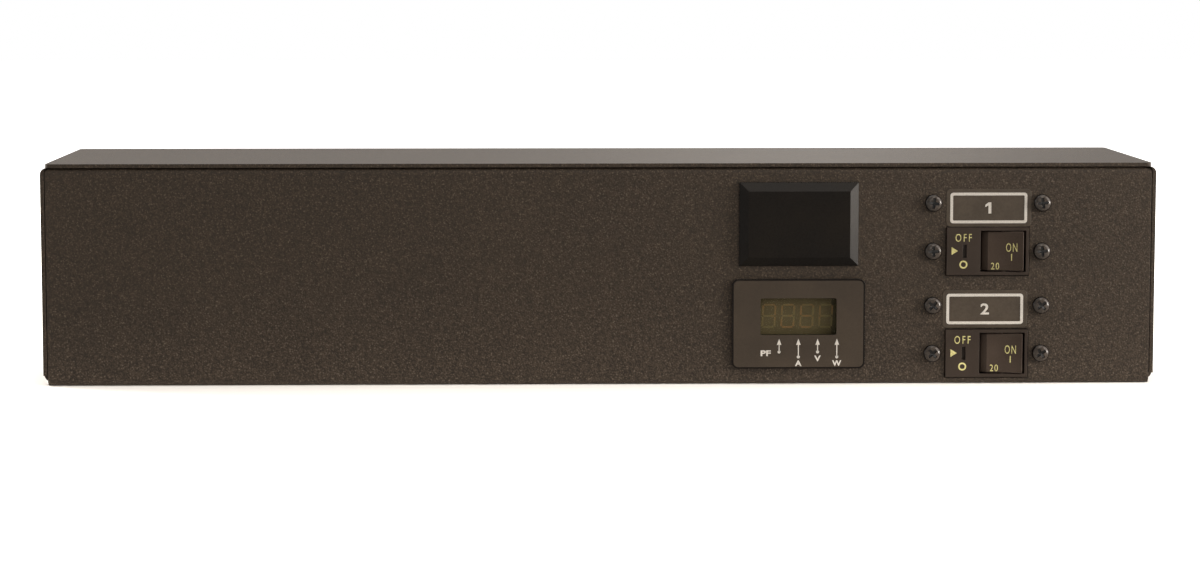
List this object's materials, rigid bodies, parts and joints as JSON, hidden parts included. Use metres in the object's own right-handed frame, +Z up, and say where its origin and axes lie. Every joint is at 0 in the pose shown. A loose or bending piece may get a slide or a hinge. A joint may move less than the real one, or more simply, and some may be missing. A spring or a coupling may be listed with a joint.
{
  "type": "power distribution unit",
  "caption": "Folded steel rack-height power box with twist-lock outlets and a cable gland on one side, and a power meter, a blank cover and rocker breakers on the other.",
  "frame": {"origin": "centre of the base's underside", "axes": "+X along the box towards the right end as seen from the outlet side, +Y out of the breaker panel, so the outlets face -Y, +Z up"},
  "size_m": [0.4382, 0.1626, 0.0874],
  "materials": {
    "powder_coat": "fine sand-textured powder coat",
    "nickel": "nickel-plated screw heads",
    "zinc": "zinc-plated steel",
    "black_screw": "blackened steel",
    "outlet_plastic": "satin moulded thermoset",
    "moulded_black": "fine matt moulding",
    "gland_black": "glossy polyamide",
    "breaker_black": "satin moulded thermoset",
    "seal_rubber": "matt rubber",
    "jacket": "matt cable jacket",
    "green_wire": "insulation",
    "white_wire": "insulation",
    "black_wire": "insulation",
    "copper": "bright cut copper",
    "brass": "stamped brass",
    "window": "tinted window",
    "display": "dark display block",
    "board": "circuit board laminate"
  },
  "bodies": {
    "housing": {"base_screws": "black_screw", "blank_cover": "moulded_black", "breaker_1_case": "breaker_black", "breaker_1_second_pole": "breaker_black", "breaker_2_case": "breaker_black", "breaker_2_second_pole": "breaker_black", "breaker_screws": "black_screw", "breaker_terminals": "brass", "cable_jacket": "jacket", "chassis_wrap": "powder_coat", "circuit_1_leads": "black_wire", "circuit_2_leads": "black_wire", "conductor_black": "black_wire", "conductor_cores": "copper", "conductor_green": "green_wire", "conductor_white": "white_wire", "earth_leads": "green_wire", "earth_nut": "zinc", "earth_stud": "zinc", "entry_plug": "powder_coat", "front_base_panel": "powder_coat", "gland_body": "gland_black", "gland_dome_nut": "gland_black", "gland_locknut": "gland_black", "gland_seal": "seal_rubber", "line_bars": "copper", "meter_bezel": "moulded_black", "meter_board": "board", "meter_case": "moulded_black", "meter_display": "display", "meter_pane": "window", "outlet_1_body": "outlet_plastic", "outlet_1_contacts": "brass", "outlet_1_face": "outlet_plastic", "outlet_1_strap": "zinc", "outlet_2_body": "outlet_plastic", "outlet_2_contacts": "brass", "outlet_2_face": "outlet_plastic", "outlet_2_strap": "zinc", "outlet_3_body": "outlet_plastic", "outlet_3_contacts": "brass", "outlet_3_face": "outlet_plastic", "outlet_3_strap": "zinc", "outlet_4_body": "outlet_plastic", "outlet_4_contacts": "brass", "outlet_4_face": "outlet_plastic", "outlet_4_strap": "zinc", "outlet_5_body": "outlet_plastic", "outlet_5_contacts": "brass", "outlet_5_face": "outlet_plastic", "outlet_5_strap": "zinc", "outlet_6_body": "outlet_plastic", "outlet_6_contacts": "brass", "outlet_6_face": "outlet_plastic", "outlet_6_strap": "zinc", "outlet_screws": "nickel", "top_cover": "powder_coat"},
    "rocker_1": {"breaker_1_rocker": "breaker_black"},
    "rocker_2": {"breaker_2_rocker": "breaker_black"}
  },
  "joints": [
    {"name": "rocker_1_turn", "type": "hinge", "parent": "housing", "child": "rocker_1", "pos_m": [-0.15877, 0.0498, 0.05253], "axis": [0, 0, 1], "range_deg": [0, 18]},
    {"name": "rocker_2_turn", "type": "hinge", "parent": "housing", "child": "rocker_2", "pos_m": [-0.15877, 0.0498, 0.01202], "axis": [0, 0, 1], "range_deg": [0, 18]}
  ]
}
